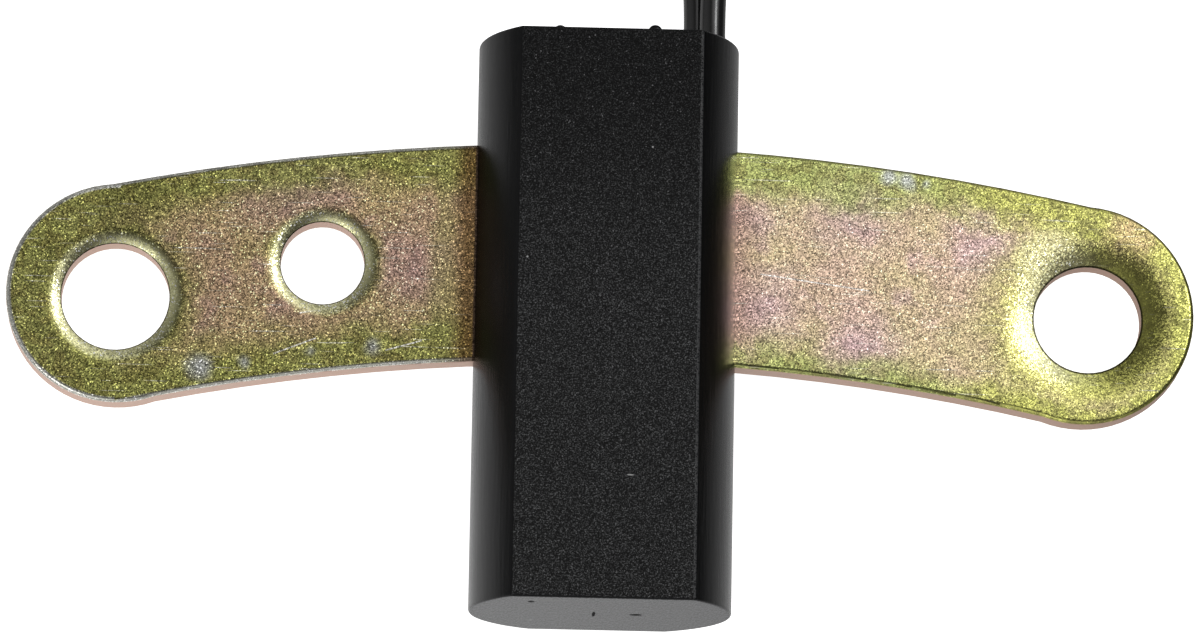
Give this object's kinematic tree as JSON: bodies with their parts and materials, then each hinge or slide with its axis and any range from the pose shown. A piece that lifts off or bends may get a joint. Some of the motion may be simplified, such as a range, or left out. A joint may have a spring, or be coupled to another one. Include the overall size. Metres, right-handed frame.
{
  "type": "crankshaft position sensor",
  "caption": "Moulded inductive crankshaft pick-up on an arc-shaped plated steel bracket with bolt and locating holes; its leads are coiled and end in a plug.",
  "frame": {"origin": "centre of the flat back face of the housing", "axes": "+X along the bracket, +Y from the sensing end to the lead end, +Z out of the front face of the housing"},
  "size_m": [0.0991, 0.0953, 0.0165],
  "materials": {
    "housing_plastic": "fine spark-eroded texture",
    "passivated_zinc": "zinc plated with a yellow iridescent passivation",
    "soft_iron": "turned",
    "ferrite": "ground",
    "bobbin_plastic": "moulded",
    "copper": "enamelled or bare wire",
    "brass_strip": "stamped",
    "solder": "reflowed",
    "lead_insulation": "smooth extruded",
    "tie_plastic": "moulded",
    "connector_plastic": "satin moulded",
    "seal_rubber": "moulded",
    "tinned_contact": "tinned"
  },
  "bodies": {
    "root": {"housing": "housing_plastic", "mounting_bracket": "passivated_zinc", "pole_piece": "soft_iron", "magnet": "ferrite", "bobbin": "bobbin_plastic", "coil_winding": "copper", "signal_terminal": "brass_strip", "return_terminal": "brass_strip", "signal_conductor": "copper", "return_conductor": "copper", "signal_solder_joint": "solder", "return_solder_joint": "solder", "signal_lead": "lead_insulation", "return_lead": "lead_insulation", "lead_coil": "lead_insulation", "coil_tie": "tie_plastic", "signal_lead_tail": "lead_insulation", "return_lead_tail": "lead_insulation", "connector_body": "connector_plastic", "signal_seal": "seal_rubber", "return_seal": "seal_rubber", "signal_contact": "tinned_contact", "return_contact": "tinned_contact"}
  },
  "joints": []
}
